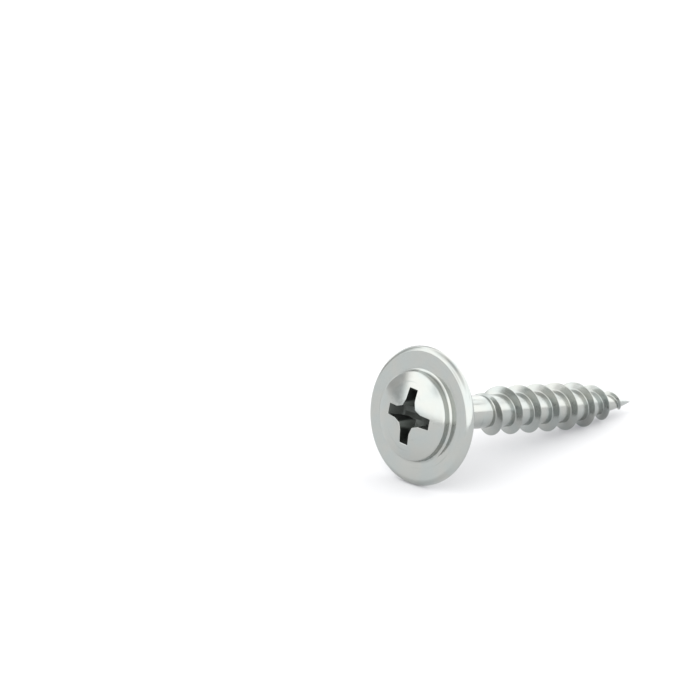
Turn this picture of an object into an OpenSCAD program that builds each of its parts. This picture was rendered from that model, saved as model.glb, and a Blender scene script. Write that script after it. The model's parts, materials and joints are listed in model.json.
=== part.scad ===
// Washer head wood screw with a cross recess, lying on its flange and thread.
// Millimetres. The screw is built upright along its own axis, with the
// underside of the flange at zero, the head below it and the point above it,
// and is then laid down with its point along +X.

/* [Flange] */
// Diameter of the washer-like flange
flange_d = 11.2; // [9:0.1:14]
// Thickness of the flange, which is also the diameter of its rounded rim
flange_t = 0.85; // [0.6:0.05:1.2]

/* [Crown] */
// Diameter of the raised crown
crown_d = 7.2; // [6.4:0.1:8.4]
// Height of the crown's upright wall above the flange
crown_wall = 0.72; // [0.5:0.02:1.2]
// Height of the dome above the top of that wall
crown_dome = 0.58; // [0.3:0.02:0.9]
// Rounding between the wall and the dome
crown_edge = 0.16; // [0.08:0.02:0.3]
// Hollow fillet between the wall and the flange
crown_fillet = 0.2; // [0.1:0.02:0.4]

/* [Recess] */
// Span of the cross over opposite wing tips, at the mouth
recess_span = 4.58; // [4:0.02:5]
// Width of each wing at its tip
wing_w = 0.88; // [0.7:0.02:1]
// Width of each wing where it meets the web corners
wing_root_w = 0.96; // [0.8:0.02:1.1]
// Distance from the middle to where a web corner's flat starts on the wing
wing_root = 1.3; // [1.15:0.05:1.6]
// Distance from the middle to the nose of each web corner
web_nose = 1.0; // [0.9:0.02:1.15]
// Lean of the wing tips from the screw's axis, in degrees
tip_lean = 26.5; // [24:0.5:29]
// Lean of the web corners from the screw's axis, in degrees
web_lean = 5.75; // [4:0.25:8]
// Depth from the top of the dome to the floor at the middle
recess_depth = 2.2; // [1.8:0.05:2.3]
// Rise of the floor towards the wing tips, in degrees
floor_rise = 24; // [15:1:35]
// Turn of the cross about the screw's axis, in degrees
cross_turn = 3.6; // [0:0.2:90]

/* [Shank] */
// Diameter of the plain shank
shank_d = 2.75; // [2.5:0.05:3.1]
// Fillet between the shank and the underside of the flange
shank_fillet = 0.35; // [0.15:0.05:0.6]
// Length from the underside of the flange to the point
length = 25; // [22:0.5:40]

/* [Thread] */
// Diameter over the thread
thread_d = 4.0; // [3.7:0.05:4.4]
// Diameter of the core that the thread stands on
core_d = 2.7; // [2.4:0.05:2.9]
// Distance between one turn of the thread and the next
pitch = 2.257; // [1.8:0.05:2.8]
// Plain length between the flange and the first trace of thread
plain_length = 5.9; // [3:0.1:9]
// Angle over which the thread rises from the shank, in degrees
run_out = 300; // [120:10:400]
// Half of the angle between the thread's two flanks, in degrees
flank_angle = 15; // [12:1:25]
// Width of the flat left on the thread's crest
crest_w = 0.08; // [0.04:0.02:0.16]
// Fillet at the foot of the thread's flanks
root_fillet = 0.12; // [0.06:0.02:0.2]

/* [Point] */
// Half of the angle of the point's cone, in degrees
point_angle = 12; // [10:0.5:16]
// Length over which the core bends from straight into the cone
bend_length = 3.4; // [2:0.1:5]
// Length over which the crest sinks towards the point
crest_fall = 7.5; // [6:0.1:9]
// Bare length between the end of the thread and the tip
bare_tip = 0.8; // [0.5:0.1:2]

/* [Hidden] */

zinc = [0.78, 0.80, 0.79];
overlap = 0.05;

flange_r = flange_d / 2;
rim_r = flange_t / 2;
crown_r = crown_d / 2;
shank_r = shank_d / 2;
core_r = core_d / 2;
thread_r = thread_d / 2;

// The dome is part of a sphere through the top of the wall.
wall_z = -flange_t - crown_wall;
apex_z = wall_z - crown_dome;
dome_r = (crown_r * crown_r + crown_dome * crown_dome) / (2 * crown_dome);
dome_z = apex_z + dome_r;
// The edge circle touches the wall and the dome from inside.
edge_x = crown_r - crown_edge;
edge_z = dome_z - sqrt(pow(dome_r - crown_edge, 2) - edge_x * edge_x);
edge_touch_x = edge_x * dome_r / (dome_r - crown_edge);

// The core bends along an arc that touches the straight core and the cone.
bend_r = bend_length / sin(point_angle);
cone_r = core_r - bend_r * (1 - cos(point_angle));
cone_z = length - cone_r / tan(point_angle);
bend_z = cone_z - bend_length;

// The core's radius at height z.
function core_at(z) =
    z < bend_z ? core_r :
    z < cone_z ? core_r - bend_r + sqrt(bend_r * bend_r - pow(z - bend_z, 2)) :
    (length - z) * tan(point_angle);

// The thread's crest line: full size at first, then sinking along a parabola.
thread_end = length - bare_tip;
fall_z = thread_end - crest_fall;
end_r = core_at(thread_end);
function crest_at(z) =
    z < fall_z ? thread_r : thread_r - (thread_r - end_r) * pow((z - fall_z) / crest_fall, 2);

steps = 40;
turns = (thread_end - plain_length) / pitch;
sections = ceil(turns * steps);
sweep = turns * 360;
full_h = thread_r - core_r;
crest_half = crest_w / 2;
// Angle of the thread at its first trace, which sets where its crests lie
start_angle = -24;

function smooth(x) = x <= 0 ? 0 : x >= 1 ? 1 : x * x * (3 - 2 * x);

// Height and half width at the foot of the thread, after turning by angle a.
function thread_h(a, z) = smooth(a / run_out) * max(crest_at(z) - core_at(z), 0);
function foot_half(a, h) = crest_half + tan(flank_angle) * (a < run_out ? full_h : h);

// One section of the thread as [along the axis, above the core] points, from
// the foot on the head's side over the crest to the foot on the point's side.
arc_steps = 3;
function section_half(a, h) =
    let (foot = foot_half(a, h),
         lean = atan2(foot - crest_half, h),
         r = min(root_fillet, h / 2),
         touch = r * tan((90 - lean) / 2))
    concat([[foot + touch, -overlap]],
           [for (i = [1 : arc_steps])
               let (turn = (90 - lean) * i / arc_steps)
               [foot + touch - r * sin(turn), r * (1 - cos(turn))]],
           [[crest_half, h]]);
function reversed(list) = [for (i = [len(list) - 1 : -1 : 0]) list[i]];
function section(a, h) =
    let (half = section_half(a, h))
    concat([for (p = half) [-p[0], p[1]]], reversed(half));
points_each = 2 * (arc_steps + 2);

// Where the section at step i stands on the screw.
function section_points(i) =
    let (a = sweep * i / sections,
         z = plain_length + pitch * a / 360,
         h = max(thread_h(a, z), 0.01),
         turn = start_angle + a)
    [for (p = section(a, h))
        let (r = core_at(z + p[0]) + p[1])
        [r * cos(turn), r * sin(turn), z + p[0]]];

module thread() {
    last = sections * points_each;
    points = [for (i = [0 : sections]) each section_points(i)];
    sides = [for (i = [0 : sections - 1], j = [0 : points_each - 1])
        let (k = (j + 1) % points_each,
             near = i * points_each,
             far = near + points_each)
        each [[near + j, near + k, far + k], [near + j, far + k, far + j]]];
    start_cap = [for (j = [1 : points_each - 2]) [0, j + 1, j]];
    end_cap = [for (j = [1 : points_each - 2]) [last, last + j, last + j + 1]];
    polyhedron(points, concat(sides, start_cap, end_cap), convexity = 12);
}

// The outline of head, shank, core and point: radius across, axis upwards.
module flange_outline() {
    translate([0, -flange_t]) square([flange_r - rim_r, flange_t]);
    translate([flange_r - rim_r, -rim_r]) circle(r = rim_r, $fn = 64);
}

module crown_outline() {
    translate([0, edge_z]) square([crown_r, -flange_t - edge_z]);
    translate([edge_x, edge_z]) circle(r = crown_edge, $fn = 64);
    intersection() {
        translate([0, dome_z]) circle(r = dome_r, $fn = 360);
        translate([0, apex_z - 1]) square([edge_touch_x, edge_z - apex_z + 1]);
    }
    hollow_fillet(crown_r, -flange_t, crown_fillet, -1);
}

// A hollow fillet beside a wall at radius x, on a face at height z. It rises
// along +Z when side is 1 and along -Z when side is -1.
module hollow_fillet(x, z, r, side) {
    low = side > 0 ? z : z - r;
    difference() {
        translate([x - overlap, low]) square([r + overlap, r]);
        translate([x + r, z + side * r]) circle(r = r, $fn = 64);
    }
}

module shank_outline() {
    square([shank_r, plain_length]);
    translate([0, -overlap]) square([shank_r, 2 * overlap]);
    hollow_fillet(shank_r, 0, shank_fillet, 1);
    polygon([[0, plain_length], [shank_r, plain_length],
             [core_r, plain_length + pitch / 4], [0, plain_length + pitch / 4]]);
    translate([0, plain_length]) square([core_r, bend_z - plain_length]);
}

module point_outline() {
    intersection() {
        translate([core_r - bend_r, bend_z]) circle(r = bend_r, $fn = 720);
        translate([0, bend_z - overlap]) square([core_r + 1, bend_length + overlap]);
    }
    polygon([[0, cone_z], [cone_r, cone_z], [0, length]]);
}

module turned_body() {
    rotate_extrude($fn = 96) {
        flange_outline();
        crown_outline();
        shank_outline();
        point_outline();
    }
}

// The cross recess. Its outline has two tip corners and two root corners for
// each wing, and one web nose between each two wings. It narrows with depth.
mouth_z = dome_z - sqrt(dome_r * dome_r - pow(recess_span / 2, 2));
function cross_outline(d) =
    let (tip = recess_span / 2 - d * tan(tip_lean),
         nose = web_nose - d * tan(web_lean),
         root = wing_root - d * tan(web_lean))
    [for (k = [0 : 3]) each [for (p = [
        [tip, -wing_w / 2], [tip, wing_w / 2],
        [root, wing_root_w / 2], [nose * cos(45), nose * sin(45)],
        [wing_root_w / 2, root]])
        [p[0] * cos(90 * k) - p[1] * sin(90 * k), p[0] * sin(90 * k) + p[1] * cos(90 * k)]]];

module cross_recess() {
    above = mouth_z - apex_z + 0.5;
    below = recess_depth - (mouth_z - apex_z) + 0.1;
    top = cross_outline(-above);
    bottom = cross_outline(below);
    n = len(top);
    points = concat([for (p = top) [p[0], p[1], mouth_z - above]],
                    [for (p = bottom) [p[0], p[1], mouth_z + below]],
                    [[0, 0, mouth_z - above], [0, 0, mouth_z + below]]);
    faces = [for (i = [0 : n - 1])
        let (j = (i + 1) % n)
        each [[2 * n, i, j], [i, n + j, j], [i, n + i, n + j], [2 * n + 1, n + j, n + i]]];
    floor_z = apex_z + recess_depth;
    floor_r = recess_span;
    intersection() {
        rotate([0, 0, cross_turn]) polyhedron(points, faces, convexity = 8);
        rotate_extrude($fn = 96)
            polygon([[0, floor_z], [0, floor_z - 9], [floor_r, floor_z - 9],
                     [floor_r, floor_z - floor_r * tan(floor_rise)]]);
    }
}

module upright_screw() {
    difference() {
        union() {
            turned_body();
            thread();
        }
        cross_recess();
    }
}

// The screw rests on the lowest point of its rim and on one turn of its
// thread. For a crest point at height z and radius r, the floor touches the
// rim's rounding and that point when the axis leans by this angle.
function lean_at(z, r) =
    let (along = z + rim_r,
         across = r - (flange_r - rim_r))
    asin(rim_r / norm([along, across])) - atan2(across, along);
bottom_angle = 270;
first_bottom = plain_length + pitch * (bottom_angle - start_angle) / 360;
contacts = concat(
    [for (k = [0 : floor(turns)])
        let (z = first_bottom + pitch * k)
        if (z < thread_end) lean_at(z, crest_at(z))],
    [lean_at(length, 0)]);
lean = min(contacts);
axis_height = (flange_r - rim_r) * cos(lean) - rim_r * sin(lean) + rim_r;
low_x = dome_z * cos(lean) - dome_r;
high_x = length * cos(lean);

module screw() {
    color(zinc)
        translate([-(low_x + high_x) / 2, 0, axis_height])
            rotate([0, 90 + lean, 0])
                rotate([0, 0, 90])
                    upright_screw();
}

screw();
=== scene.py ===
# %% [markdown]
# # A washer head wood screw, bright zinc plated
#
# The real screw starts as a length of soft steel wire. A press upsets one end into the crown and
# the thin flange in one blow and punches the cross recess in the next. Two flat dies then roll the
# thread, and the whole screw is plated with a few thousandths of a millimetre of zinc.
#
# This lesson makes that one piece of steel as one closed mesh. Each step has a short text that says
# what the form is on the real screw and why it is made the way it is, and then the code.
#
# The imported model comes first. It gives the true size, and the place where the screw lies.

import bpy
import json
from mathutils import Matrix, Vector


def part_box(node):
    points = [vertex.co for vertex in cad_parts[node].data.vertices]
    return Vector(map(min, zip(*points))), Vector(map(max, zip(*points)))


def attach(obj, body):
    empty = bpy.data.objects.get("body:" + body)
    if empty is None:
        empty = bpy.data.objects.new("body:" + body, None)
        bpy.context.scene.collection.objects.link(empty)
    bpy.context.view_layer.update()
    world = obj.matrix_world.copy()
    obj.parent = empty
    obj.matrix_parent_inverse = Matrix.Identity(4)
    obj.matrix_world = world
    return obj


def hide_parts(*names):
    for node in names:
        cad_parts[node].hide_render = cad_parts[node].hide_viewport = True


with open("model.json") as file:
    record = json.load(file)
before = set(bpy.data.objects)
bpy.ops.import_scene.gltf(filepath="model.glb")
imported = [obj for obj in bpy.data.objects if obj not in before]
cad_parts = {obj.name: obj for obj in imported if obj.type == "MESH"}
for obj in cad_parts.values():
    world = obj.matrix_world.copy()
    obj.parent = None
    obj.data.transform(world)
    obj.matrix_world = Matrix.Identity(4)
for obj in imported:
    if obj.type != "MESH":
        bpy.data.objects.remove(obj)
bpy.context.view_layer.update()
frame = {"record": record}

# %% Tools used in every step
import json
import math

import bpy
import numpy as np
from mathutils import Matrix

MM = 0.001


# %% [markdown]
# ## Where the screw lies
#
# A screw with a wide flange can't stand on its side as a plain rod would: it lies on two points, the
# lowest point of the flange's rim and one turn of the thread. So its axis leans towards the floor.
#
# The mount under the flange knows that lean, because its axis is the screw's own axis. The width of
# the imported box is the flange's diameter. The rim is a half circle in section, so the height of the
# axis over the floor follows from the lean, the flange and the thickness of the rim.
#
# All shapes below are worked out upright, in millimetres: the underside of the flange is at height
# zero, the head is below it and the point is above it. The function place() then lays them down. An
# object could be turned instead, but a mesh that holds its own place can be exported as it is.

# %% The screw's own axes
FLANGE_T = 0.85

low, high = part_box("screw")
flange_r = (high.y - low.y) / MM / 2
rim_r = FLANGE_T / 2
seat = [m for m in frame["record"]["mounts"] if m["name"] == "under_flange"][0]
along = np.array(seat["axis"])
along /= np.linalg.norm(along)
lean = math.asin(-along[2])
across = np.array([0.0, 1.0, 0.0])
up = np.cross(along, across)

axis_height = (flange_r - rim_r) * math.cos(lean) - rim_r * math.sin(lean) + rim_r
seat_x, seat_z = seat["pos_m"][0] / MM, seat["pos_m"][2] / MM
origin = np.array([seat_x + (axis_height - seat_z) * math.tan(lean), 0.0, axis_height])
length = (high.x / MM - origin[0]) / math.cos(lean)
print(f"flange {2 * flange_r:.2f} mm, length {length:.2f} mm, lean {math.degrees(lean):.2f} degrees")


def place(points):
    """A point at (x, y, z) upright goes to the origin plus x along the floor across the screw,
    y along the screw's upper side and z along its axis, in metres."""
    return (origin + points @ np.array([across, up, along])) * MM


# %% [markdown]
# ## Rows and columns
#
# Each surface here is a grid. A column runs along the screw, from the middle of the recess to the
# point, and a row runs round it. Where a shape is turned, like the flange, a row is a circle, and
# the shape is all in one line of points, its profile.
#
# Such a surface could also be drawn by hand and spun round with a Screw modifier. Worked out as
# arrays, the rows of one form can meet those of the next point for point.
#
# Helpers draw the profiles. A straight stretch puts its points close together near its two ends,
# so that smooth shading stays crisp beside an edge and doesn't wash over a flat face.

# %% Helpers for profiles
COLUMNS = 192
STEP = 360 / COLUMNS


def spread(steps):
    """Shares from 0 to 1 that lie close together at both ends: half of one minus the cosine of an
    angle that runs evenly from 0 to a half turn."""
    return (1 - np.cos(np.linspace(0, math.pi, steps + 1))) / 2


def line(start, end, steps):
    """Points from start to end, each at a spread share of the way."""
    share = spread(steps)[:, None]
    return (1 - share) * np.array(start, float) + share * np.array(end, float)


def arc(centre, radius, start, end, steps):
    """Points on a circle: its centre plus the radius times the cosine and the sine of an angle
    that runs evenly from start to end, in degrees."""
    angle = np.radians(np.linspace(start, end, steps + 1))
    return np.array(centre) + radius * np.stack([np.cos(angle), np.sin(angle)], axis=1)


def joined(*pieces):
    """The pieces of a profile one after the other, without the point that two neighbours share."""
    return np.concatenate([pieces[0]] + [piece[1:] for piece in pieces[1:]])


print("spread shares of four steps:", [round(float(share), 2) for share in spread(4)])

# %% [markdown]
# ## The turned part of the head
#
# From the side of the driver, the head has a low dome, a rounded edge, a short upright wall, a
# hollow fillet and then the flat of the flange. The flange's rim is a full half circle, because the
# steel flows out freely there when the head is pressed. Under it are the flat seat, another fillet
# and the plain shank.
#
# A dome of a known height over a known width is part of a sphere, whose radius follows from the
# two. The rounded edge is a small circle that touches the sphere and the wall from inside. A Bevel
# modifier could round the edges, but arcs in the profile keep each radius exactly as it is given.

# %% The profile of head and shank
CROWN_R = 3.6
CROWN_WALL = 0.72
CROWN_DOME = 0.58
CROWN_EDGE = 0.16
CROWN_FILLET = 0.2
SHANK_R = 1.375
SHANK_FILLET = 0.35

wall_z = -FLANGE_T - CROWN_WALL
apex_z = wall_z - CROWN_DOME
dome_r = (CROWN_R ** 2 + CROWN_DOME ** 2) / (2 * CROWN_DOME)
dome_z = apex_z + dome_r
edge_x = CROWN_R - CROWN_EDGE
edge_z = dome_z - math.sqrt((dome_r - CROWN_EDGE) ** 2 - edge_x ** 2)
edge_start = math.degrees(math.atan2(edge_z - dome_z, edge_x))


def dome_height(r):
    """Height of the dome at radius r: the centre of its sphere, less the height of that sphere's
    lower half there by Pythagoras."""
    return dome_z - np.sqrt(dome_r ** 2 - np.square(r))


def head_profile(inner_r, shank_end):
    """The outline from the dome at inner_r, over wall, flange and rim, to the end of the shank."""
    touch_r = edge_x * dome_r / (dome_r - CROWN_EDGE)
    r = inner_r + (touch_r - inner_r) * spread(8)
    dome = np.stack([r, dome_height(r)], axis=1)
    foot_r, foot_z = CROWN_R + CROWN_FILLET, -FLANGE_T - CROWN_FILLET
    seat_r = SHANK_R + SHANK_FILLET
    return joined(
        dome,
        arc((edge_x, edge_z), CROWN_EDGE, edge_start, 0, 7),
        line((CROWN_R, edge_z), (CROWN_R, foot_z), 6),
        arc((foot_r, foot_z), CROWN_FILLET, 180, 90, 8),
        line((foot_r, -FLANGE_T), (flange_r - rim_r, -FLANGE_T), 8),
        arc((flange_r - rim_r, -rim_r), rim_r, -90, 90, 20),
        line((flange_r - rim_r, 0), (seat_r, 0), 8),
        arc((seat_r, SHANK_FILLET), SHANK_FILLET, 270, 180, 8),
        line((SHANK_R, SHANK_FILLET), (SHANK_R, shank_end), 8),
    )


print(f"dome: radius {dome_r:.2f} mm, top {-apex_z:.2f} mm over the flange's underside")

# %% [markdown]
# ## The cross recess
#
# The punch for a cross recess has four wings whose tips lean in by a good 26 degrees, so that the
# driver centres itself, while the web corners between them stand almost upright. The floor is a
# shallow cone.
#
# Seen along the screw, the outline has five corners for each wing: two at the tip, one at each
# root, and the nose of the next web. A quarter turn of a complex number is a multiplication by i,
# which makes the other three wings out of the first. Every corner moves in a straight line as the
# depth grows, so two outlines at different depths give the walls everywhere.
#
# A Boolean modifier with a solid of the punch's shape would cut the recess too. It leaves long thin
# triangles round the mouth that spoil the dome's reflections, so the recess has a grid of its own.

# %% The outline of the recess
RECESS_SPAN = 4.58
WING_W = 0.88
WING_ROOT_W = 0.96
WING_ROOT = 1.3
WEB_NOSE = 1.0
TIP_LEAN = 26.5
WEB_LEAN = 5.75
RECESS_DEPTH = 2.2
FLOOR_RISE = 24
CROSS_TURN = 3.6
CORNER_ROUND = 0.05
CORNER_STEPS = 3
EDGE_STEPS = (6, 7, 4, 4, 7)


def cross_corners(depth):
    """The 20 corners at a depth under the mouth, as complex numbers. Tip and root corners come in
    by the depth times the tangent of their lean."""
    tip = RECESS_SPAN / 2 - depth * math.tan(math.radians(TIP_LEAN))
    drawn_in = depth * math.tan(math.radians(WEB_LEAN))
    root, nose = WING_ROOT - drawn_in, WEB_NOSE - drawn_in
    wing = np.array([
        tip - 1j * WING_W / 2,
        tip + 1j * WING_W / 2,
        root + 1j * WING_ROOT_W / 2,
        nose * np.exp(1j * math.pi / 4),
        WING_ROOT_W / 2 + 1j * root,
    ])
    return (1j ** np.arange(4)[:, None] * wing).ravel()


def cross_outline(depth):
    """The outline as one point for each column. A corner is a curve between two points a little
    way along its two edges, pulled to the corner, and an edge is evenly divided."""
    corner = cross_corners(depth)
    edge = np.roll(cross_corners(0), -1) - cross_corners(0)
    share = CORNER_ROUND / np.abs(edge)
    leave = corner + share * (np.roll(corner, -1) - corner)
    arrive = corner + np.roll(share, 1) * (np.roll(corner, 1) - corner)
    t = np.linspace(0, 1, CORNER_STEPS + 1)
    bend = (np.outer(arrive, (1 - t) ** 2) + np.outer(corner, 2 * t * (1 - t))
            + np.outer(leave, t ** 2)).reshape(4, 5, -1)
    pieces = []
    for k, steps in enumerate(EDGE_STEPS):
        s = np.arange(1, steps + 1) / (steps + 1)
        start, end = leave[k::5], np.roll(arrive, -1)[k::5]
        pieces += [bend[:, k], np.outer(start, 1 - s) + np.outer(end, s)]
    return np.concatenate(pieces, axis=1).ravel() * np.exp(1j * math.radians(CROSS_TURN))


mouth_line = cross_outline(0)
wall_slope = cross_outline(1) - mouth_line
mouth_z = float(dome_height(RECESS_SPAN / 2))
print("columns in the outline of the recess:", mouth_line.size)

# %% [markdown]
# ## Walls, floor and mouth
#
# Where a wall meets the dome, its depth isn't the same all round, because the dome falls away to
# the wing tips. The depth is found by repetition: guess it, see how high the dome is there, correct
# the guess, and it settles after a few rounds. The cone of the floor is met in the same way.
#
# A punched edge is never knife sharp, so the mouth and the foot of the walls get a small rounding,
# a curve between a point on each side that is pulled towards the edge.

# %% Rows from the middle of the floor to the dome
MOUTH_ROUND = 0.035
FLOOR_ROUND = 0.12
MEET_ROUNDS = 12
DOME_INNER_R = 2.85
floor_z = apex_z + RECESS_DEPTH
floor_slope = math.tan(math.radians(FLOOR_RISE))


def wall_at(depth):
    """The wall at a depth for each column: the mouth's outline plus depth times its slope."""
    return mouth_line + depth * wall_slope


def depth_where(height):
    """The depth at which each column's wall meets a surface that is turned about the axis."""
    depth = np.zeros(COLUMNS)
    for _ in range(MEET_ROUNDS):
        depth = height(np.abs(wall_at(depth))) - mouth_z
    return depth


def floor_height(r):
    """Height of the floor's cone: its middle less the radius times its slope."""
    return floor_z - r * floor_slope


def raised(flat, height):
    """Complex numbers and heights made into points in space."""
    height = np.broadcast_to(height, flat.shape)
    return np.stack([flat.real, flat.imag, height], axis=-1)


def rounded(before, edge, after, steps):
    """Rows of a curve from before to after that is pulled towards the edge: the squares of one
    minus t and of t weigh its ends, and twice the product of the two weighs the edge."""
    t = np.linspace(0, 1, steps + 1)[:, None, None]
    return (1 - t) ** 2 * before + 2 * t * (1 - t) * edge + t ** 2 * after


def recess_rows(ring):
    """Rows from the middle of the floor, up the walls and over the dome to the given ring."""
    mouth_depth, floor_depth = depth_where(dome_height), depth_where(floor_height)
    foot, mouth = wall_at(floor_depth), wall_at(mouth_depth)
    floor_edge = foot * (1 - FLOOR_ROUND / np.abs(foot))
    floor_flat = spread(8)[:, None] * floor_edge
    outward = (ring - mouth) / np.abs(ring - mouth)
    lip = mouth + MOUTH_ROUND * outward
    dome_flat = lip + spread(12)[:, None] * (ring - lip)
    low_wall, high_wall = floor_depth - FLOOR_ROUND, mouth_depth + MOUTH_ROUND
    depth = low_wall + spread(12)[:, None] * (high_wall - low_wall)
    wall = raised(wall_at(depth), mouth_z + depth)
    floor = raised(floor_flat, floor_height(np.abs(floor_flat)))
    dome = raised(dome_flat, dome_height(np.abs(dome_flat)))
    foot_edge = raised(foot, mouth_z + floor_depth)
    mouth_edge = raised(mouth, mouth_z + mouth_depth)
    inside = np.concatenate([floor, rounded(floor[-1], foot_edge, wall[0], 4)[1:], wall[1:]])
    outside = np.concatenate([rounded(wall[-1], mouth_edge, dome[0], 3), dome[1:]])
    return inside, outside


print(f"floor of the recess: {RECESS_DEPTH} mm under the dome's top, {floor_z - mouth_z:.2f} under the mouth")

# %% [markdown]
# ## The thread
#
# A rolled thread stands on a core that is a little thinner than the wire it came from, since the
# steel squeezed out of the groove has become the thread. It rises out of the shank over most of a
# turn, and near the point both the core and the crest shrink.
#
# The point is a cone that swells a little, as the dies leave it.
#
# A Screw modifier on one section makes a thread as well, but a thread that comes out of the shank
# and fades towards the point changes all the way, so here a formula gives each section.
#
# The grid follows the thread. A column is one section through it, and each row keeps its place on
# the section, so that foot, flank and crest stay crisp for every turn. One section reaches half a
# pitch up and down, so its upper end meets the lower end of the section one turn further on.

# %% Radius of core and crest
THREAD_R = 2.0
CORE_R = 1.35
PITCH = 2.257
PLAIN_LENGTH = 5.9
RUN_OUT = 300
FLANK_ANGLE = 15
CREST_HALF = 0.025
ROOT_FILLET = 0.06
POINT_ANGLE = 12
BEND_LENGTH = 3.4
CREST_FALL = 7.6
POINT_SWELL = 0.1
BARE_TIP = 0.8
START_ANGLE = -24

point_slope = math.tan(math.radians(POINT_ANGLE))
bend_r = BEND_LENGTH / math.sin(math.radians(POINT_ANGLE))
cone_r = CORE_R - bend_r * (1 - math.cos(math.radians(POINT_ANGLE)))
cone_z = length - cone_r / point_slope
bend_z = cone_z - BEND_LENGTH
thread_end = length - BARE_TIP
fall_z = thread_end - CREST_FALL
last_column = math.ceil((thread_end - PLAIN_LENGTH) / PITCH * COLUMNS)


def core_at(z):
    """Radius of the core: straight, then a circle that bends it in, then a cone to the point. The
    cone swells by the share of its length that is left times the square of the rest, which is
    greatest, 4/27, where a third is left."""
    bend = CORE_R - bend_r + np.sqrt(bend_r ** 2 - np.square(np.clip(z - bend_z, 0, BEND_LENGTH)))
    left = np.clip((length - z) / (length - cone_z), 0, 1)
    cone = (length - z) * point_slope + POINT_SWELL * 27 / 4 * left * (1 - left) ** 2
    return np.where(z < cone_z, bend, cone)


end_r = float(core_at(thread_end))


def crest_at(z):
    """Radius of the crest: full, then less by the square of the way from where it starts to fall."""
    way = np.clip((z - fall_z) / CREST_FALL, 0, None)
    return THREAD_R - (THREAD_R - end_r) * way ** 2


def body_at(z):
    """Radius without thread: the shank, which tapers to the core over a quarter of the pitch."""
    taper = np.clip((z - PLAIN_LENGTH) / (PITCH / 4), 0, 1)
    return np.where(z < PLAIN_LENGTH + PITCH / 4, SHANK_R + (CORE_R - SHANK_R) * taper, core_at(z))


def rise(share):
    """A smooth step from 0 to 1: three times the square less twice the cube."""
    share = np.clip(share, 0, 1)
    return share * share * (3 - 2 * share)


print(f"cone from {cone_z:.2f} mm, thread to {thread_end:.2f} mm, core there {2 * end_r:.2f} mm across")

# %% [markdown]
# ## One section of the thread
#
# From the middle of the groove to the middle of the crest, half a section has a straight stretch of
# core, a small fillet, a flank that leans by 15 degrees, a rounded corner and half of the narrow
# flat on top. The other half is its mirror image.
#
# While the thread rises out of the shank, its foot keeps the full width and its flanks lie flatter,
# because the dies push the same steel up less and less far there.
#
# Just ahead of the first turn the dies bite a shallow hollow into the shank. It starts at a sharp
# crease, gets wider round the screw and is deepest right at the thread's foot. A bump texture could
# fake it, but the crease bends the reflections so clearly that it has to be real. The stretch
# beside each foot has rows of its own for it, and on all later turns they simply lie on the core.

# %% Rows of one section
CREST_ROUND = 0.015
HOLLOW_NARROW = 0.33
HOLLOW_WIDE = 0.72
HOLLOW_DEPTH = 0.075
HOLLOW_GAP = 0.15
HOLLOW_COMES = (130, 210)
HOLLOW_WIDENS = (170, 290)
HOLLOW_LEAVES = (300, 390)
HOLLOW_SHARES = np.array([0, 0.3, 0.6, 0.85, 1])
HOLLOW_FORM = np.array([0, 0.32, 0.62, 0.86, 1])
CORE_SHARES = np.array([0, 0.55, 0.95])
FILLET_SHARES = np.linspace(0, 1, 5)[1:, None]
CREST_SHARES = np.linspace(0, 1, 4)[1:, None]


def over_angles(angle, start, end):
    """A smooth step from 0 to 1 while the thread turns from the start angle to the end angle."""
    return rise((angle - start) / (end - start))


def hollow_depth(angle):
    """Depth of the hollow: the full depth times the step it comes in by, times what the step it
    leaves by still lets through."""
    return HOLLOW_DEPTH * over_angles(angle, *HOLLOW_COMES) * (1 - over_angles(angle, *HOLLOW_LEAVES))


def hollow_width(angle):
    """Width of the hollow: it grows from narrow to wide by a smooth step."""
    return HOLLOW_NARROW + (HOLLOW_WIDE - HOLLOW_NARROW) * over_angles(angle, *HOLLOW_WIDENS)


def half_section(reach, height, foot, depth, width):
    """Offsets along the axis and heights over the core, from the reach in to the crest's middle.
    The hollow sinks from its crease to its full depth where the fillet starts. The fillet is a
    circle that touches the core and the flank, less the hollow's depth times the square of the
    share of the fillet that is still to come. The crest's corner is a curve that is pulled to it."""
    tilt = np.arctan2(foot - CREST_HALF, height)
    fillet = np.minimum(ROOT_FILLET, height / 2)
    touch = fillet * np.tan((math.pi / 2 - tilt) / 2)
    crease = foot + touch + width
    core = np.concatenate([crease + (1 - CORE_SHARES[:, None]) * (reach - crease),
                           crease - HOLLOW_SHARES[:, None] * width])
    dip = np.concatenate([np.zeros((len(CORE_SHARES), len(height))),
                          -depth * HOLLOW_FORM[:, None]])
    turn = FILLET_SHARES * (math.pi / 2 - tilt)
    curve = foot + touch - fillet * np.sin(turn)
    curve_height = fillet * (1 - np.cos(turn)) - depth * (1 - FILLET_SHARES) ** 2
    corner = np.minimum(CREST_ROUND, height / 3)
    flank_end = CREST_HALF + corner * np.sin(tilt), height - corner * np.cos(tilt)
    share = spread(4)[1:, None]
    flank = curve[-1] + share * (flank_end[0] - curve[-1])
    flank_height = curve_height[-1] + share * (flank_end[1] - curve_height[-1])
    t = CREST_SHARES
    flat_end = np.maximum(CREST_HALF - corner, 0)
    crest = (1 - t) ** 2 * flank_end[0] + 2 * t * (1 - t) * CREST_HALF + t ** 2 * flat_end
    crest_height = (1 - t) ** 2 * flank_end[1] + (1 - (1 - t) ** 2) * height
    top = np.zeros_like(reach)[None]
    offset = np.concatenate([core, curve, flank, crest, top])
    return offset, np.concatenate([dip, curve_height, flank_height, crest_height, height[None]])


print(f"hollow: up to {HOLLOW_DEPTH} mm deep and {HOLLOW_WIDE} mm wide")

# %% The whole thread as rows
SQUEEZE_Z = 22.5
TIP_RING_Z = length - 0.45


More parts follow.
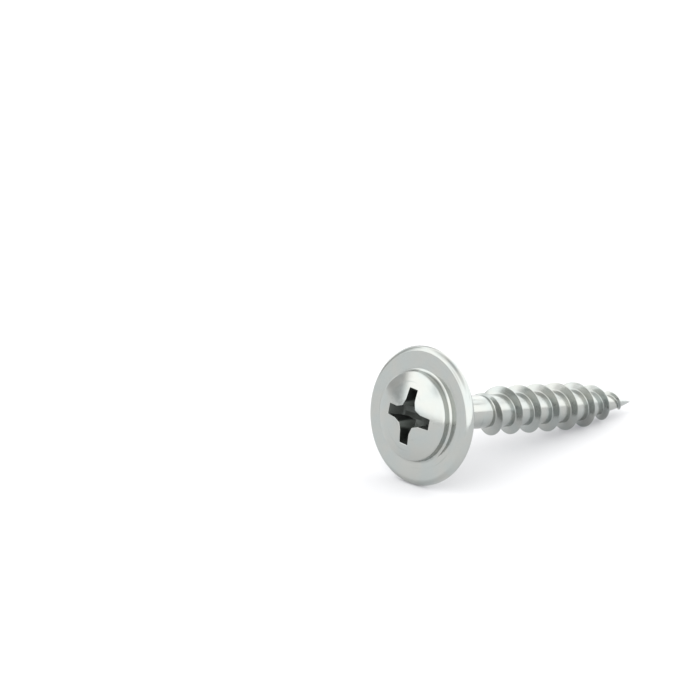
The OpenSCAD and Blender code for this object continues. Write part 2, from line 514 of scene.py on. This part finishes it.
def squeezed(z):
    """Heights near the point, drawn in by a square so that the last turn ends before the tip."""
    over = np.clip(z - SQUEEZE_Z, 0, None)
    full = thread_end + PITCH / 2 - SQUEEZE_Z
    return z - (thread_end + PITCH / 2 - TIP_RING_Z) * (over / full) ** 2


def turned(r, z, angle):
    """Points at radius r, height z and an angle in degrees about the axis."""
    angle = np.radians(angle)
    return np.stack(np.broadcast_arrays(r * np.cos(angle), r * np.sin(angle), z), axis=-1)


def thread_rows():
    """The thread's surface. The radius of a point is the core's at its height plus its height over
    the core, but no less than the body's, apart from the hollow's depth. A section turns by one
    step for each column while it climbs that share of the pitch."""
    angle = np.arange(last_column + 1) * STEP
    centre = PLAIN_LENGTH + PITCH * angle / 360
    height = rise(angle / RUN_OUT) * np.maximum(crest_at(centre) - core_at(centre), 0)
    foot_height = np.where(angle < RUN_OUT, THREAD_R - CORE_R, height)
    foot = CREST_HALF + math.tan(math.radians(FLANK_ANGLE)) * foot_height
    low_reach = centre - squeezed(centre - PITCH / 2)
    high_reach = squeezed(centre + PITCH / 2) - centre
    width = np.minimum(hollow_width(angle), low_reach - foot - HOLLOW_GAP)
    below, low_height = half_section(low_reach, height, foot, hollow_depth(angle), width)
    plain_depth, plain_width = np.zeros_like(angle), np.full_like(angle, HOLLOW_NARROW)
    above, high_height = half_section(high_reach, height, foot, plain_depth, plain_width)
    offset = np.concatenate([-below, above[-2::-1]])
    over_core = np.concatenate([low_height, high_height[-2::-1]])
    z = centre + offset
    r = np.maximum(core_at(z) + over_core, body_at(z) + np.minimum(over_core, 0))
    return turned(r, z, START_ANGLE + angle)


thread = thread_rows()
print(f"thread: {last_column / COLUMNS:.2f} turns, {thread.shape[0]} rows")

# %% [markdown]
# ## From rings to a helix and back
#
# The shank is made of level rings, and the thread climbs. Between the two lies a wedge: it has no
# height where the thread's first section will come round again, and a whole pitch one turn later.
# Its rows divide that height as the first section does, so the edges meet point for point. A second
# wedge does the same before the tip. The thread could also just be pushed into a plain rod, but then
# there would be walls inside the steel, and a line where the two surfaces cross.

# %% The two wedges
def wedge(first_angle, low_z, high_z, shares):
    """Rows between two heights that change from column to column, at the given shares."""
    angle = first_angle + np.arange(COLUMNS + 1) * STEP
    z = low_z + shares[:, None] * (high_z - low_z)
    return turned(body_at(z), z, START_ANGLE + angle)


turn_z = PITCH * np.arange(COLUMNS + 1) / COLUMNS
shank_ring_z = PLAIN_LENGTH - PITCH / 2
first_shares = (thread[:, 0, 2] - shank_ring_z) / PITCH
first_wedge = wedge(-360, shank_ring_z, shank_ring_z + turn_z, first_shares)
last_z = squeezed(PLAIN_LENGTH + PITCH * (last_column / COLUMNS - 0.5) + turn_z)
last_shares = (thread[:, -1, 2] - last_z[0]) / (last_z[-1] - last_z[0])
last_wedge = wedge(last_column * STEP, last_z, last_z[-1], last_shares)
print(f"wedges: from {shank_ring_z:.2f} mm, and up to {last_z[-1]:.2f} mm")

# %% [markdown]
# ## Head and point as grids
#
# The recess's columns sit where its corners need them. On the way over the head they are evened
# out, and they turn a little so that they arrive at the shank in line with the thread's.
#
# No rolled point is needle sharp. The last stretch is a small round curve, which could also be a
# ball of its own, but as rows of the same grid it leaves no line.

# %% Rows of the head and of the tip
TIP_ROUND = 0.07
even_angle = CROSS_TURN + (np.arange(COLUMNS) - (EDGE_STEPS[0] - 1) / 2 - 1 - CORNER_STEPS) * STEP
ring = DOME_INNER_R * np.exp(1j * np.radians(even_angle))
recess, lip_and_dome = recess_rows(ring)
profile = head_profile(DOME_INNER_R, shank_ring_z)
misfit = (START_ANGLE - even_angle[0] + STEP / 2) % STEP - STEP / 2
twist = even_angle + misfit * np.linspace(0, 1, len(profile))[:, None]
head = turned(profile[:, :1], profile[:, 1:], twist)


def closed_round(rows):
    """Each row with its first point once more at its end."""
    return np.concatenate([rows, rows[:, :1]], axis=1)


def tip_rows():
    """The point: the core's own line, and then a curve to the tip that is pulled towards a place
    beside the tip. The squares of one minus t and of t weigh its ends, and twice the product of the
    two weighs that place."""
    start, end = last_z[-1], length - TIP_ROUND * 2
    z = start + (end - start) * spread(6)
    side = np.stack([core_at(z), z], axis=1)
    t = np.linspace(0, 1, 7)[1:, None]
    beside, top = np.array([TIP_ROUND, length]), np.array([0, length])
    ball = (1 - t) ** 2 * side[-1] + 2 * t * (1 - t) * beside + t ** 2 * top
    rows = np.concatenate([side, ball])
    angle = START_ANGLE + (last_column + np.arange(COLUMNS + 1)) * STEP
    return turned(rows[:, :1], rows[:, 1:], angle)


tip = tip_rows()
print("rows:", len(recess), "in the recess,", len(profile), "on head and shank,", len(tip), "at the tip")

# %% [markdown]
# ## One closed skin
#
# The grids share their borders. To weld them, every point is written as whole steps of a very fine
# grain, and points in the same step become one. Merge by Distance does the same in Blender, but
# here the numbers of the grids' own points are needed afterwards. Each cell of a grid gives two
# triangles, and the few that shrink to a line at a pole or at a wedge's thin end are left out.
#
# A closed skin has every edge in exactly two triangles, and a skin that faces outwards encloses a
# positive volume. Both are easy to test.

# %% Weld the grids
GRAIN = math.pi * 1e-7


def triangles(rows, columns, start):
    """Two triangles for each cell, numbered row by row from start."""
    number = start + np.arange(rows * columns).reshape(rows, columns)
    a, b, c, d = number[:-1, :-1], number[:-1, 1:], number[1:, 1:], number[1:, :-1]
    return np.stack([np.stack([a, b, c], -1), np.stack([a, c, d], -1)], 2).reshape(-1, 3)


def welded(grids):
    """All points once, the triangles, for each triangle the number of its grid, and for each point
    the place where it stands first among the grids' points."""
    faces, owner, start = [], [], 0
    for number, grid in enumerate(grids):
        cells = triangles(grid.shape[0], grid.shape[1], start)
        faces.append(cells)
        owner.append(np.full(len(cells), number))
        start += grid.shape[0] * grid.shape[1]
    points = np.concatenate([grid.reshape(-1, 3) for grid in grids])
    steps = np.round(points / GRAIN).astype(np.int64)
    _, first, same = np.unique(steps, axis=0, return_index=True, return_inverse=True)
    faces, owner = same.ravel()[np.concatenate(faces)], np.concatenate(owner)
    a, b, c = faces.T
    whole = (a != b) & (b != c) & (c != a)
    return points[first], faces[whole], owner[whole], first


def open_edges(faces):
    """How many edges don't lie in exactly two triangles."""
    edges = np.sort(np.concatenate([faces[:, [0, 1]], faces[:, [1, 2]], faces[:, [2, 0]]]), axis=1)
    return int(np.sum(np.unique(edges, axis=0, return_counts=True)[1] != 2))


def volume(points, faces):
    """A sixth of the sum of the triple products of each triangle's corners."""
    a, b, c = points[faces].transpose(1, 0, 2)
    return float(np.sum(a * np.cross(b, c)) / 6)


grids = [closed_round(recess), closed_round(lip_and_dome), closed_round(head),
         first_wedge, thread, last_wedge, tip]
points, faces, owner, first_of = welded(grids)
print(f"{len(faces)} triangles, {open_edges(faces)} open edges, {volume(points, faces):.1f} mm3")


# %% [markdown]
# ## The way of the drawing lines
#
# Cold forming leaves its own fine lines: rings on the head, where the steel has flowed outwards, and
# long streaks along the thread, where it has slipped past the dies. A texture that follows them
# could be painted on a flat UV map, but a helix doesn't lie flat without a cut.
#
# One number for each point is enough: how far it is from the edge that its grid shares with the
# next, measured along its column. On the thread that is the way out of the groove and back into it,
# so the number is the same on both sides of every border and nothing jumps. It is kept on the mesh
# as an attribute, which the zinc reads.

# %% Distance along the columns
def walked(grid):
    """For each point, the sum of the straight ways from the first row of its column to it."""
    steps = np.linalg.norm(np.diff(grid, axis=0), axis=2)
    return np.concatenate([np.zeros((1, grid.shape[1])), np.cumsum(steps, axis=0)])


def out_and_back(grid):
    """The way from the first or the last row of a column, whichever is nearer."""
    way = walked(grid)
    return np.minimum(way, way[-1] - way)


head_way = walked(closed_round(head))
shank_way = float(head_way[-1].mean())
dome_way = np.hypot(*closed_round(lip_and_dome)[:, :, :2].transpose(2, 0, 1)) - DOME_INNER_R
recess_way = dome_way[0] - walked(closed_round(recess)[::-1])[::-1]
thread_way = out_and_back(thread)
coming = np.linspace(0, 1, COLUMNS + 1)
ways = [recess_way, dome_way, head_way, shank_way + thread_way[:, :1] * coming,
        shank_way + thread_way, shank_way + thread_way[:, -1:] * coming[::-1],
        shank_way + walked(tip)]
flow = np.concatenate([way.ravel() for way in ways])[first_of]
print(f"from the dome's ring to the shank's end: {shank_way:.2f} mm")


# %% [markdown]
# ## The screw's mesh
#
# The arrays become one object. Its faces are smooth shaded: where an edge should look crisp, rows
# lie close together beside it, which a real small radius does as well. Marking sharp edges would be
# quicker, but a sharp edge catches no light, and on polished metal the bright line along each small
# rounding is what shows the form.

# %% The mesh
def mesh_object(name, points, faces):
    """A smooth shaded object whose place is in its mesh."""
    mesh = bpy.data.meshes.new(name)
    mesh.from_pydata(place(points), [], faces)
    mesh.polygons.foreach_set("use_smooth", np.ones(len(faces), bool))
    made = bpy.data.objects.new(name, mesh)
    bpy.context.scene.collection.objects.link(made)
    return made


screw = mesh_object("zinc_plated_screw", points, faces)
flow_on_mesh = screw.data.attributes.new("flow", "FLOAT", "POINT")
flow_on_mesh.data.foreach_set("value", flow)
print(screw.name, "has", len(screw.data.vertices), "points")

# %% [markdown]
# ## Nodes for the finishes
#
# A material is worked out point by point, so it has to know where on the screw a point is. Object
# coordinates give its place on the floor, in metres, and there the screw leans. A Mapping node of
# the kind Texture takes away a place, a turn and a scale, which is place() backwards, and so it
# gives the screw's own upright millimetres. A pattern in them keeps its size and stays put when
# the screw is moved.
#
# The helpers below only save typing. Each adds one node, joins what it is given and hands back the
# socket with the result.

# %% Helpers for nodes
def feed(tree, socket, value):
    """A number or a colour is set on the socket, and another socket is linked to it."""
    if isinstance(value, bpy.types.NodeSocket):
        tree.links.new(value, socket)
    else:
        socket.default_value = value


def calc(tree, operation, *values):
    """A Math node."""
    node = tree.nodes.new("ShaderNodeMath")
    node.operation = operation
    for socket, value in zip(node.inputs, values):
        feed(tree, socket, value)
    return node.outputs[0]


def eased(tree, value, start, end, low=0.0, high=1.0):
    """A smooth step from low to high while the value goes from start to end."""
    node = tree.nodes.new("ShaderNodeMapRange")
    node.interpolation_type = "SMOOTHSTEP"
    feed(tree, node.inputs["Value"], value)
    node.inputs["From Min"].default_value = start
    node.inputs["From Max"].default_value = end
    node.inputs["To Min"].default_value = low
    node.inputs["To Max"].default_value = high
    return node.outputs["Result"]


def vector(tree, x, y, z):
    """Three numbers as one place."""
    node = tree.nodes.new("ShaderNodeCombineXYZ")
    for socket, value in zip(node.inputs, (x, y, z)):
        feed(tree, socket, value)
    return node.outputs[0]


def noise(tree, where, scale, detail):
    """Soft random spots, about one for each unit of place times scale."""
    node = tree.nodes.new("ShaderNodeTexNoise")
    feed(tree, node.inputs["Vector"], where)
    node.inputs["Scale"].default_value = scale
    node.inputs["Detail"].default_value = detail
    return node.outputs["Fac"]


def blended(tree, share, first, second):
    """The first colour where the share is 0, the second where it is 1."""
    node = tree.nodes.new("ShaderNodeMix")
    node.data_type = "RGBA"
    colours = [socket for socket in node.inputs if socket.type == "RGBA"]
    feed(tree, node.inputs[0], share)
    feed(tree, colours[0], first)
    feed(tree, colours[1], second)
    return [socket for socket in node.outputs if socket.type == "RGBA"][0]


def raised_by(tree, height, distance):
    """A Bump node whose surface stands out by the distance, in metres, where the height is 1."""
    node = tree.nodes.new("ShaderNodeBump")
    node.inputs["Distance"].default_value = distance
    feed(tree, node.inputs["Height"], height)
    return node.outputs["Normal"]


def split(tree, place):
    """The three numbers of a place."""
    node = tree.nodes.new("ShaderNodeSeparateXYZ")
    tree.links.new(place, node.inputs[0])
    return node.outputs


print("helpers: feed, calc, eased, vector, noise, blended, raised_by and split")

# %% The screw's own place in a material
OWN_TURN = Matrix(np.array([across, up, along]).T.tolist()).to_euler()


def own_place(tree):
    """Object coordinates with the screw's place, lean and scale taken away."""
    node = tree.nodes.new("ShaderNodeMapping")
    node.vector_type = "TEXTURE"
    node.inputs["Location"].default_value = origin * MM
    node.inputs["Rotation"].default_value = OWN_TURN
    node.inputs["Scale"].default_value = (MM, MM, MM)
    tree.links.new(tree.nodes.new("ShaderNodeTexCoord").outputs["Object"], node.inputs["Vector"])
    return node.outputs["Vector"]


def metal(name):
    """A new material, its nodes and its shader, which is all metal."""
    made = bpy.data.materials.new(name)
    made.use_nodes = True
    shader = made.node_tree.nodes["Principled BSDF"]
    shader.inputs["Metallic"].default_value = 1
    return made, made.node_tree, shader


print("the screw's lean about the floor's Y axis:", round(math.degrees(OWN_TURN.y), 2), "degrees")

# %% [markdown]
# ## Bright zinc
#
# Zinc is plated on in a bath and then dipped in a thin passivation, which leaves a cool silvery
# grey with a breath of yellow or blue where the film is a little thicker. It isn't a mirror: the
# crystals of the zinc soften each reflection, here more and there less.
#
# A single grey with one roughness would look like a plastic toy. So the tone drifts between a warm
# and a cool grey over a millimetre or two, the roughness drifts with finer spots, and the drawing
# lines show as faint darker streaks that also stand out by about a thousandth of a millimetre. The
# rolled thread is a little rougher than the drawn shank. The last layer is a fine grain, as of
# crystals. A photo of zinc as a texture could do this too, but it would stretch over the thread.

# %% Bright zinc
WARM_GREY = (0.422, 0.431, 0.409, 1)
COOL_GREY = (0.401, 0.427, 0.415, 1)
LINE_GREY = (0.355, 0.374, 0.36, 1)
TONE_SCALE = 0.55
SPOT_SCALE = 2.5
SMOOTHEST = 0.11
ROUGHEST = 0.17
ROLLED_ROUGHER = 0.07
TONE_RANGE = (0.35, 0.65)
SPOT_RANGE = (0.3, 0.7)
LINE_RANGE = (0.58, 0.75)
LINES_PER_MM = 5.0
LINE_DRIFT = 0.25
GRAIN_SCALE = 9.0
LINE_HEIGHT = 1.2e-6
GRAIN_HEIGHT = 1.0e-6


def drawing_lines(tree, own):
    """Spots that change fast with the distance along the columns and slowly in any other way."""
    way = tree.nodes.new("ShaderNodeAttribute")
    way.attribute_name = "flow"
    x, _, z = split(tree, own)
    return noise(tree, vector(tree, calc(tree, "MULTIPLY", way.outputs["Fac"], LINES_PER_MM),
                              calc(tree, "MULTIPLY", x, LINE_DRIFT),
                              calc(tree, "MULTIPLY", z, LINE_DRIFT)), 1.0, 3.0)


zinc, tree, shader = metal("bright_zinc")
own = own_place(tree)
tone = eased(tree, noise(tree, own, TONE_SCALE, 2.0), *TONE_RANGE)
lines = drawing_lines(tree, own)
grey = blended(tree, tone, WARM_GREY, COOL_GREY)
tree.links.new(blended(tree, eased(tree, lines, *LINE_RANGE), grey, LINE_GREY),
               shader.inputs["Base Color"])
height = split(tree, own)["Z"]
rolled = eased(tree, height, PLAIN_LENGTH - PITCH / 2, PLAIN_LENGTH, 0.0, ROLLED_ROUGHER)
spots = eased(tree, noise(tree, own, SPOT_SCALE, 3.0), *SPOT_RANGE, SMOOTHEST, ROUGHEST)
tree.links.new(calc(tree, "ADD", spots, rolled), shader.inputs["Roughness"])
relief = calc(tree, "ADD", calc(tree, "MULTIPLY", lines, LINE_HEIGHT / GRAIN_HEIGHT),
              noise(tree, own, GRAIN_SCALE, 2.0))
tree.links.new(raised_by(tree, relief, GRAIN_HEIGHT), shader.inputs["Normal"])
screw.data.materials.append(zinc)
print("zinc:", len(tree.nodes), "nodes")

# %% [markdown]
# ## The punched recess
#
# Plating hardly reaches the bottom of a narrow recess, and the punch leaves its walls dull and
# dragged. Seen from outside it is nearly black, but not evenly so, and that shade and light are
# painted into its colour. The side walls of the wings get the darkest painted shade. A lighter
# painted grey stands for the light on the tip walls of one pair of wings, on all of the second of
# them and on the floor, apart from a band of painted shade that runs out along the first. The flats
# of the web corners beside the other pair get the brightest painted light.
#
# A hole with the bright zinc of the head in it would glow, because mirrors pass the light on, and
# one dark colour would look like paint. So the triangles inside the mouth get a second material,
# whose painted shade and light depend on the place in the recess. Each zone could be a material of
# its own, but then their borders would be as sharp as the triangles. It is rougher, partly dull, and
# has drag marks.

# %% Zones of painted light and shade in the recess
ZONE_EDGE = (0.12, 0.04)
NOSE_EDGE = (0.53, 0.62)
NOSE_END = (0.75, 0.95)
BRIGHT_WING = (-0.9, -1.2)
# The fold is a band of painted shade that runs along one wing of the recess.
SHADE_BAND_PLACE = -0.27
SHADE_BAND_EDGE = (0.18, 0.27)
SHADE_BAND_END = (-0.1, 0.3)


def up_to(tree, value, level):
    """A share that rises to 1 shortly before the value reaches a level."""
    return eased(tree, value, level - ZONE_EDGE[0], level - ZONE_EDGE[1])


def drawn_out(tree, reach, deep, lean):
    """What a wall's distance from the axis would be at the mouth: the distance at its depth plus
    the depth times the tangent of its lean."""
    return calc(tree, "ADD", reach, calc(tree, "MULTIPLY", deep, math.tan(math.radians(lean))))


def recess_zones(tree, own):
    """Shares of painted half light and of painted bright light at a place, which stand for how the
    light falls into the recess. The two ways across run along the wings. The floor's cone is where the
    height plus the radius times its slope is that of its middle."""
    crossed = tree.nodes.new("ShaderNodeVectorRotate")
    crossed.rotation_type = "Z_AXIS"
    crossed.inputs["Angle"].default_value = -math.radians(CROSS_TURN)
    tree.links.new(own, crossed.inputs["Vector"])
    along_wing, along_other, z = split(tree, crossed.outputs[0])
    far = calc(tree, "ABSOLUTE", along_wing)
    side = calc(tree, "ABSOLUTE", along_other)
    deep = calc(tree, "SUBTRACT", z, mouth_z)
    on_tip = up_to(tree, drawn_out(tree, far, deep, TIP_LEAN), RECESS_SPAN / 2)
    squares = calc(tree, "ADD", calc(tree, "MULTIPLY", far, far), calc(tree, "MULTIPLY", side, side))
    sloped = calc(tree, "MULTIPLY", calc(tree, "SQRT", squares), floor_slope)
    on_floor = up_to(tree, calc(tree, "ADD", z, sloped), floor_z)
    # Away from the band of painted shade, the floor keeps its lighter painted grey.
    off_middle = calc(tree, "ABSOLUTE", calc(tree, "SUBTRACT", along_other, SHADE_BAND_PLACE))
    off_shade_band = calc(tree, "MAXIMUM", eased(tree, off_middle, *SHADE_BAND_EDGE),
                    eased(tree, along_wing, *SHADE_BAND_END, 1.0, 0.0))
    on_wing = eased(tree, along_wing, *BRIGHT_WING)
    # Where the light falls in, the recess gets the lighter painted grey.
    painted_half_light = calc(tree, "MAXIMUM", calc(tree, "MAXIMUM", on_tip, on_wing),
                calc(tree, "MULTIPLY", on_floor, off_shade_band))
    # The web flats beside one pair of wings get the brightest painted light.
    nose = drawn_out(tree, calc(tree, "MINIMUM", far, side), deep, WEB_LEAN)
    on_nose = calc(tree, "MULTIPLY", eased(tree, nose, *NOSE_EDGE), eased(tree, far, *NOSE_END, 1.0, 0.0))
    return painted_half_light, calc(tree, "MULTIPLY", on_nose, calc(tree, "SUBTRACT", 1.0, on_floor))


print("thin zinc and rubbed zinc are told apart by place")

# %% The painted shade and light in the recess
# The darkest grey is painted shade for the inside of the recess.
PAINTED_SHADE_GREY = (0.034, 0.038, 0.034, 1)
# A lighter painted grey stands for the light on the tip walls, on one wing and on the floor.
PAINTED_HALF_LIGHT_GREY = (0.088, 0.097, 0.09, 1)
# The brightest grey is painted light on the web flats beside one pair of wings.
PAINTED_BRIGHT_LIGHT_GREY = (0.2, 0.22, 0.202, 1)
DULL_SHARE = 0.35
DULL_GLOSS = 0.2
DRAG_SQUASH = (1.0, 1.0, 0.15)
DRAG_SCALE = 3.0
DRAG_HEIGHT = 3.0e-6
DRAG_RANGE = (0.3, 0.7)
LEAST_ROUGH = 0.4
MOST_ROUGH = 0.55

painted_recess, tree, shader = metal("recess_painted_shade")
own = own_place(tree)
dragged = tree.nodes.new("ShaderNodeVectorMath")
dragged.operation = "MULTIPLY"
dragged.inputs[1].default_value = DRAG_SQUASH
tree.links.new(own, dragged.inputs[0])
marks = noise(tree, dragged.outputs[0], DRAG_SCALE, 4.0)
painted_half_light, painted_bright_light = recess_zones(tree, own)
# The recess's colour is painted shade, lifted to painted light where the zones say.
painted_shade = blended(tree, painted_half_light, PAINTED_SHADE_GREY, PAINTED_HALF_LIGHT_GREY)
tree.links.new(blended(tree, painted_bright_light, painted_shade, PAINTED_BRIGHT_LIGHT_GREY), shader.inputs["Base Color"])
shader.inputs["Metallic"].default_value = 1 - DULL_SHARE
shader.inputs["Specular IOR Level"].default_value = DULL_GLOSS
tree.links.new(eased(tree, marks, *DRAG_RANGE, LEAST_ROUGH, MOST_ROUGH), shader.inputs["Roughness"])
tree.links.new(raised_by(tree, marks, DRAG_HEIGHT), shader.inputs["Normal"])
screw.data.materials.append(painted_recess)
# The triangles inside the mouth take the material of painted shade and light.
screw.data.polygons.foreach_set("material_index", (owner == 0).astype(np.int32))
print("triangles of dark steel:", int(np.sum(owner == 0)))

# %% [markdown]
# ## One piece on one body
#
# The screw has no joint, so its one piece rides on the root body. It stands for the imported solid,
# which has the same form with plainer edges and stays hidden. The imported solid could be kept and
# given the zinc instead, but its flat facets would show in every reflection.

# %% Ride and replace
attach(screw, "root")
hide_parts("screw")
print("pieces:", screw.name)

# %% [markdown]
# ## A sheet of white paper
#
# The floor is a wide sheet of matt paper. Its own colour under the studio's light comes close to
# white, and a little light of its own takes it the rest of the way, so that the sheet ends nowhere.
# Only the camera, mirrors and glass see that extra light, which the Light Path node tells: it
# lights nothing, and the screw's shadow stays, a little bluer than the paper. A stronger lamp
# would whiten the paper too, but it would wash out the zinc with it.

# %% The floor
FLOOR_SIZE = 4.0
PAPER = (0.65, 0.65, 0.65, 1)
PAPER_LIFT = 0.08
LIFT_COLOUR = (0.8, 0.82, 1.0, 1)

bpy.ops.mesh.primitive_plane_add(size=FLOOR_SIZE)
floor = bpy.context.object
floor.name = "floor"
paper = bpy.data.materials.new("white_paper")
paper.use_nodes = True
tree = paper.node_tree
shader = tree.nodes["Principled BSDF"]
shader.inputs["Base Color"].default_value = PAPER
shader.inputs["Roughness"].default_value = 1.0
shader.inputs["Specular IOR Level"].default_value = 0.0
shader.inputs["Emission Color"].default_value = LIFT_COLOUR
path = tree.nodes.new("ShaderNodeLightPath")
seen = calc(tree, "MAXIMUM", path.outputs["Is Camera Ray"], path.outputs["Is Glossy Ray"])
seen = calc(tree, "MAXIMUM", seen, path.outputs["Is Transmission Ray"])
tree.links.new(calc(tree, "MULTIPLY", seen, PAPER_LIFT), shader.inputs["Emission Strength"])
floor.data.materials.append(paper)
print("floor:", FLOOR_SIZE, "m wide")

# %% [markdown]
# ## The studio's light
#
# Polished metal has hardly any colour of its own: what shows is the room round it. In a studio for
# small bright things that is a tent of white cloth, lit from outside. Lamps could stand round the
# screw, but each would show in the metal as a hard spot, so the tent is the World, a strength for
# each direction.
#
# The tent's wall is brightest from just over the floor up to where the roof starts, because that is
# what the flanks and the crown reflect. The roof is dimmer, as it would light the paper most, and
# its ridge dimmer still. Part of the wall beyond the screw hangs in shade, which greys the upper
# rim. A grey card stands on the left, and the dome's dark patch is its mirror image: without
# something dark to reflect, bright metal looks flat. A small card stands further round on that
# side, and on the right a seam of the cloth draws a thin grey line along the shank.

# %% Directions in the tent
LOOK_HEADING = 46.31

world = bpy.data.worlds.new("light_tent")
bpy.context.scene.world = world
world.use_nodes = True
tree = world.node_tree
way = tree.nodes.new("ShaderNodeTexCoord").outputs["Generated"]
steepness = split(tree, way)["Z"]


def climbed(low, high, start, end):
    """A smooth step from start to end while the direction climbs from a low to a high angle. The
    third number of a direction is the sine of its angle over the floor."""
    low, high = math.sin(math.radians(low)), math.sin(math.radians(high))
    return eased(tree, steepness, low, high, start, end)


def toward(turn, climb, inner, outer):
    """A share that is 1 within the inner angle of a direction and 0 beyond the outer one. The turn
    is to the left of the camera's own heading. The dot product of two directions is the cosine of
    the angle between them."""
    turn, climb = math.radians(LOOK_HEADING + turn), math.radians(climb)
    level = math.cos(climb)
    dot = tree.nodes.new("ShaderNodeVectorMath")
    dot.operation = "DOT_PRODUCT"
    tree.links.new(way, dot.inputs[0])
    dot.inputs[1].default_value = (math.cos(turn) * level, math.sin(turn) * level, math.sin(climb))
    cosine = dot.outputs["Value"]
    return eased(tree, cosine, math.cos(math.radians(outer)), math.cos(math.radians(inner)))


def dimmed(light, share, level):
    """The light where the share is 0, and the level times the light where it is 1."""
    kept = calc(tree, "SUBTRACT", 1.0, calc(tree, "MULTIPLY", share, 1.0 - level))
    return calc(tree, "MULTIPLY", light, kept)


print("the camera's heading in the tent:", LOOK_HEADING, "degrees")


# %% The light tent
HORIZON = 1.0
WALL = 2.2
WALL_FOOT = (0, 6)
ROOF = (43, 69)
ROOF_SHARE = 0.62
RIDGE = (70, 84)
RIDGE_SHARE = 0.6
FAR_WALL = (10, 21, 5, 28)
FAR_SHARE = 0.48
LOW_CARD = (66, 4, 12, 23)
LOW_CARD_FOOT = (-0.5, 4)
HIGH_CARD = (52, 24, 4, 20)
CARD_SHARE = 0.34
SIDE_CARD = (116, 27, 2, 10)
SIDE_SHARE = 0.55
SEAM_CLIMB = 29.5
SEAM_HALF = 2
SEAM_SIDE = (-70, 29, 25, 45)
SEAM_SHARE = 0.35

light = climbed(*WALL_FOOT, HORIZON, WALL)
light = calc(tree, "MULTIPLY", light, climbed(*ROOF, 1.0, ROOF_SHARE))
light = calc(tree, "MULTIPLY", light, climbed(*RIDGE, 1.0, RIDGE_SHARE))
light = dimmed(light, toward(*FAR_WALL), FAR_SHARE)
low_card = calc(tree, "MULTIPLY", toward(*LOW_CARD), climbed(*LOW_CARD_FOOT, 0.0, 1.0))
light = dimmed(light, calc(tree, "MAXIMUM", low_card, toward(*HIGH_CARD)), CARD_SHARE)
light = dimmed(light, toward(*SIDE_CARD), SIDE_SHARE)
under = climbed(SEAM_CLIMB - SEAM_HALF, SEAM_CLIMB, 0.0, 1.0)
over = climbed(SEAM_CLIMB, SEAM_CLIMB + SEAM_HALF, 1.0, 0.0)
seam = calc(tree, "MULTIPLY", calc(tree, "MULTIPLY", under, over), toward(*SEAM_SIDE))
light = dimmed(light, seam, SEAM_SHARE)
background = tree.nodes["Background"]
background.inputs["Color"].default_value = (1, 1, 1, 1)
tree.links.new(light, background.inputs["Strength"])
print("light tent:", len(tree.nodes), "nodes")

# %% [markdown]
# ## The camera
#
# A long lens from a quarter of a metre away keeps the head and the point in natural proportion. The
# camera looks down on the screw by 18 degrees, and its heading shows the face of the head and the
# thread at once. It could be placed by eye, but these values were fitted to the real picture's view.
# The lens and the place together set how large the screw is in the picture.

# %% The camera
LOOK_DOWN = 18.363
CAMERA_HEIGHT = 96.04
STAND_OFF = 256.47
SIDE_STEP = 6.004
LENS = 175.37
SENSOR = 36
NEAREST = 0.01

heading = math.radians(LOOK_HEADING)
forward = np.array([math.cos(heading), math.sin(heading), 0])
right = np.array([math.sin(heading), -math.cos(heading), 0])
ground = np.array([origin[0], 0, 0])
eye = ground - STAND_OFF * forward - SIDE_STEP * right + np.array([0, 0, CAMERA_HEIGHT])
camera = bpy.data.objects.new("camera", bpy.data.cameras.new("camera"))
bpy.context.scene.collection.objects.link(camera)
camera.data.lens = LENS
camera.data.sensor_width = SENSOR
camera.data.clip_start = NEAREST
camera.location = eye * MM
camera.rotation_euler = (math.radians(90 - LOOK_DOWN), 0, heading - math.pi / 2)
bpy.context.scene.camera = camera
bpy.context.scene.view_settings.view_transform = "Standard"
print("camera at", [round(float(x), 1) for x in eye], "mm")
